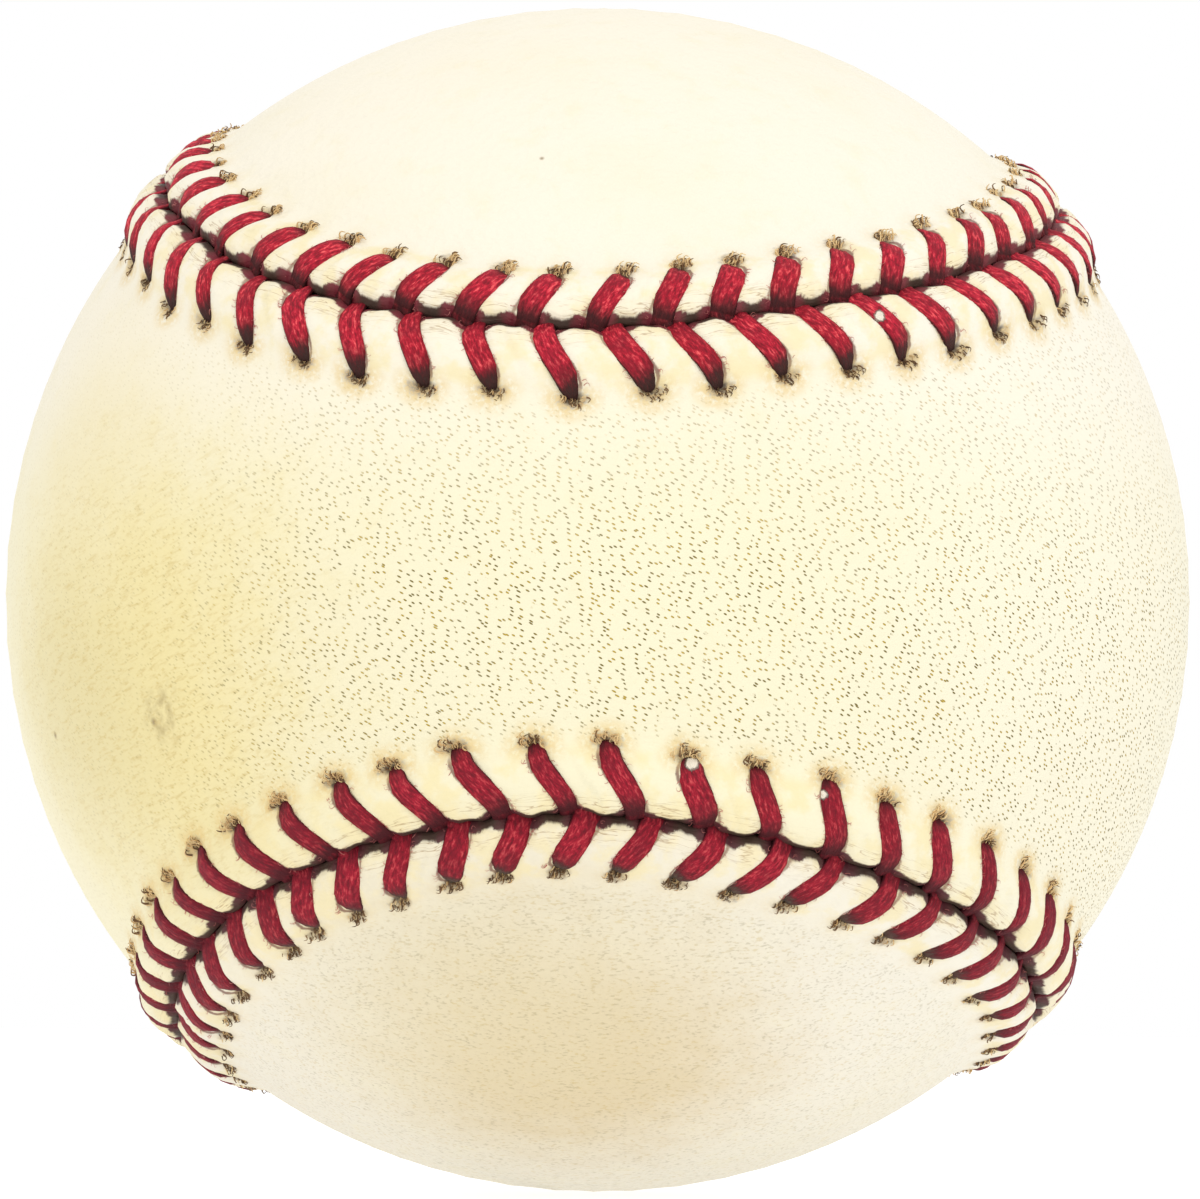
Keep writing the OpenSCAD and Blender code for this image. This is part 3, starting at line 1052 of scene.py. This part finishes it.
# Darker still low down towards both sides
low_and_sideways = low_on_ball * place.part("X").math("ABSOLUTE").eased(10.0, 30.0)
colour = (low_and_sideways * 0.5).mixed(colour, (0.10, 0.004, 0.014))
speck = 1 - place.cells(1.9).eased(0.04, 0.09)
colour = (speck * blotch.eased(0.55, 0.65) * 0.6).mixed(colour, (0.85, 0.45, 0.38))
height = fibre * 0.14 + strand * 0.16 + blotch * 0.1
for centre, size in wax_crumbs:
    away = place.stretched(1.0, 0.1, 1.0).away_from(centre) / size
    crumb = 1 - (away + (fibre - 0.5) * 0.8).eased(0.6, 1.0)
    colour = crumb.mixed(colour, (0.83, 0.76, 0.62))
    height = height + crumb * 0.4
set_finish(red_thread, colour, 0.6 + fibre * 0.2, height, Specular_IOR_Level=0.25)
for name, first, node in (
    ("lacing_lead", 0, "lacing_thread_lead"),
    ("lacing_follow", 1, "lacing_thread_follow"),
):
    thread = grown(
        name, lacing_tree, thread_mesh(name, first), Sides=thread_sides,
        Groove=groove_depth_share, Material=red_thread,
    )
    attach(thread, "root")
    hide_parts(node)

# Loose hairs: wear lifts short hairs from the waxed thread, along both edges of every leg. They
# are part of the lacing.
bend = (0.75, 0.5, 0.35)
tip = (0.75, -0.3, 0.0)
bend_cuts = 4
taper_share = 0.7
fibre_tree, given = new_tree(
    "short_fibres", {"Geometry": "Geometry", "Thickness": "Float", "Material": "Material"}
)
start = Wire(fibre_tree)
strand = start.node(
    "GeometryNodeCurveQuadraticBezier",
    {"Resolution": bend_cuts, "Start": (0, 0, 0), "Middle": bend, "End": tip},
)
taper = 1 - start.node("GeometryNodeSplineParameter", {}, out="Factor") * taper_share
three_sided = start.node("GeometryNodeCurvePrimitiveCircle", {"Resolution": 3, "Radius": 1.0})
strand = start.node(
    "GeometryNodeCurveToMesh",
    {
        "Curve": strand, "Profile Curve": three_sided, "Scale": given["Thickness"] * taper,
        "Fill Caps": True,
    },
)
lie = start.node(
    "FunctionNodeAxesToRotation",
    {"Primary Axis": read(start, "lie", "FLOAT_VECTOR"),
     "Secondary Axis": read(start, "up", "FLOAT_VECTOR")},
    primary_axis="X", secondary_axis="Z",
)
fibres = start.node(
    "GeometryNodeInstanceOnPoints",
    {"Points": given["Geometry"], "Instance": strand, "Rotation": lie, "Scale": read(start, "size")},
)
end_tree(fibre_tree, fibres, given["Material"])

# Where a value is a pair, it is the least there is and how much more there can be
hairs = 22
hair_t = 0.05
hair_way_shares = (0.1, 0.85)
hair_edge_share = 0.46
hair_rise = 0.04
hair_lift = (0.05, 0.25)
hair_length = (0.2, 0.3)
hair_stray = 0.9
fibre_twist = 1.2


def drawn(pair, total):
    """Random values from the first of a pair up to the sum of both"""
    return pair[0] + pair[1] * chance.random(total)


def rooted(side, run, across, rise, along_part, across_part, lift):
    """Roots on the leather, the way that each fibre lies, and the way that it bends"""
    t = seam_at(run)
    height = leather_height(side, np.mod(run, seam_length), across)
    root = seam_point(t, toward[side] * across, ball_r + height + rise)
    lie = along_part[:, None] * seam_along(t) + across_part[:, None] * seam_across(t)
    lie = unit(lie + lift[:, None] * unit(root))
    up = unit(root) + uneven(fibre_twist, len(run))[:, None] * seam_along(t)
    return root * mm, lie, up


def hair_mesh(name, side):
    """The roots of the loose hairs along a panel's legs, with the way that each one lies"""
    leg = np.repeat(numbers, hairs)
    total = len(leg)
    u = drawn(hair_way_shares, total)
    across = reach[side][leg] * (1 - u)
    edge = np.where(chance.random(total) < 0.5, -1, 1)
    path = gap_run[side][leg] - lean[side][leg] * (1 - lean_share(u))
    path = path + bow[side][leg] * np.sin(math.pi * u)
    run = path + hair_edge_share * edge * width[side][leg]
    root, lie, up = rooted(
        side, run, across, hair_rise, edge, uneven(hair_stray, total), drawn(hair_lift, total)
    )
    mesh = add_mesh(name, root, ())
    carry(mesh, lie=lie, up=up, size=drawn(hair_length, total) * mm)
    return mesh


hair_finish, place = new_finish("thread_fuzz")
hair_colour = place.noise(0.6).mixed((0.30, 0.02, 0.03), (0.75, 0.30, 0.25))
set_finish(hair_finish, hair_colour, 0.8 + place.noise(0.5) * 0.1, place.noise(0.2) * 0.01)
for name, side in (("thread_fuzz_front", FRONT), ("thread_fuzz_back", BACK)):
    fuzz = grown(name, fibre_tree, hair_mesh(name, side), Thickness=hair_t, Material=hair_finish)
    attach(fuzz, "root")

# Torn fibres: the awl and the tight thread tear the leather at each hole, and its fibres stand
# out beyond the end of the leg. They belong to the panels.
fibres_there = 42
fibre_t = 0.12
tuft_depth = 0.6
tuft_w_share = 0.42
tuft_lean = 0.3
tuft_round_shares = (1.1, 0.6)
spread_share = 0.5
root_depth = 0.01
fan = 0.25
fan_lean = 0.35
fan_stray = 0.3
fibre_lift = (0.05, 0.3)
fibre_length = (0.3, 0.4)
low_steepness = 1.4
low_length_share = 0.25
dark_shares = (0.3, 0.5)
dark_tint = 0.28
light_tint = 0.68
tint_range = 0.28


def fibre_mesh(name, side):
    """The roots of a panel's torn fibres, with the way that each one lies. Where they hang down
    they are shorter, and darker with soil and painted shade"""
    leg = np.repeat(numbers, fibres_there)
    total = len(leg)
    spread = np.clip(chance.standard_normal(total) * spread_share, -1, 1)
    deepest = tuft_depth * chance.random(total)
    further = deepest * (tuft_round_shares[0] - spread**2 * tuft_round_shares[1])
    run = (gap_run[side] - lean[side])[leg]
    run = run + tuft_w_share * spread * width[side][leg] - tuft_lean * further
    across = reach[side][leg] + further
    sideways = spread * fan - fan_lean + uneven(fan_stray, total)
    away = toward[side] * np.ones(total)
    root, lie, up = rooted(
        side, run, across, -root_depth, sideways, away, drawn(fibre_lift, total)
    )
    low = np.clip(-low_steepness * toward[side] * seam_across(seam_at(run))[:, 2], 0, 1)
    dark = chance.random(total) < dark_shares[0] + dark_shares[1] * low
    tint = np.where(dark, dark_tint, light_tint)
    tint = tint + tint_range * chance.random(total) * np.where(dark, -1, 1)
    size = drawn(fibre_length, total) * (1 - low_length_share * low)
    mesh = add_mesh(name, root, ())
    carry(mesh, lie=lie, up=unit(up), tint=tint, size=size * mm)
    return mesh


torn_leather, place = new_finish("torn_leather")
(tint,) = carried_by(place, "tint")
tints = [
    (0.0, (0.045, 0.022, 0.01)), (0.3, (0.22, 0.11, 0.04)), (0.55, (0.64, 0.36, 0.13)),
    (1.0, (0.92, 0.72, 0.38)),
]
torn_colour = place.node("ShaderNodeValToRGB", {"Fac": tint}, stops=tints)
torn_colour = (place.noise(0.4) * 0.25).mixed(torn_colour, (0.38, 0.22, 0.09))
set_finish(torn_leather, torn_colour, 0.8 + tint * 0.1, place.noise(0.15) * 0.02)
for name, side in (("torn_fibres_front", FRONT), ("torn_fibres_back", BACK)):
    fray = grown(name, fibre_tree, fibre_mesh(name, side), Thickness=fibre_t, Material=torn_leather)
    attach(fray, "root")

# Floor, light and camera: a white studio floor and an even white room, a large soft lamp above
# and in front, and the camera where the photograph has it.
floor_drop = 0.15
floor_r = 3.0
floor_glow = 0.65
floor_z = -(ball_r + floor_drop) * mm
corners = [(x * floor_r, y * floor_r, floor_z) for x, y in ((-1, -1), (1, -1), (1, 1), (-1, 1))]
floor_mesh = add_mesh("studio_floor", corners, [(0, 1, 2, 3)])
floor = placed("studio_floor", floor_mesh)
floor_finish, place = new_finish("studio_floor")
paper = place.noise(60.0, 2.0)
set_finish(
    floor_finish, paper.mixed((0.50, 0.50, 0.50), (0.52, 0.52, 0.52)), 0.9 + paper * 0.05,
    place.noise(2.0) * 0.01, Emission_Color=(1.0, 1.0, 1.0, 1.0), Emission_Strength=floor_glow,
)
floor_mesh.materials.append(floor_finish)

room = bpy.data.worlds.new("white_room")
room.use_nodes = True
room.node_tree.nodes["Background"].inputs["Color"].default_value = (1.0, 1.0, 1.0, 1.0)
room.node_tree.nodes["Background"].inputs["Strength"].default_value = 1.0
bpy.context.scene.world = room

lamp_place = Vector((0.10, -0.40, 0.50))
lamp_data = bpy.data.lights.new("top_lamp", "AREA")
lamp_data.shape = "SQUARE"
lamp_data.size = 0.30
lamp_data.energy = 0.9
lamp = placed("top_lamp", lamp_data)
lamp.location = lamp_place
lamp.rotation_euler = (-lamp_place).to_track_quat("-Z", "Y").to_euler()

# The ball is seen from far off, turned a little from its own front, and a little off the middle
view_turn = (-2.81, 1.53, -0.48)
view_distance = 14 * 36.6
view_offset = (0.142, 0.02)
lens_px = 8268.0
frame_px = 1200.0
spin = Vector([math.radians(angle) for angle in view_turn])
turned = Matrix.Rotation(spin.length, 3, spin.normalized())
right, up, back = (Vector((row[0], -row[2], row[1])) for row in turned)
camera_data = bpy.data.cameras.new("camera")
camera_data.sensor_width = 36.0
camera_data.lens = lens_px / frame_px * camera_data.sensor_width
camera_data.clip_start = 0.05
camera_data.clip_end = 20.0
camera = placed("camera", camera_data)
view_place = (back * view_distance + right * view_offset[0] + up * view_offset[1]) * mm
view_turned = Matrix((right, up, back)).transposed().to_4x4()
camera.matrix_world = Matrix.Translation(view_place) @ view_turned
bpy.context.scene.camera = camera
bpy.context.scene.view_settings.view_transform = "Standard"
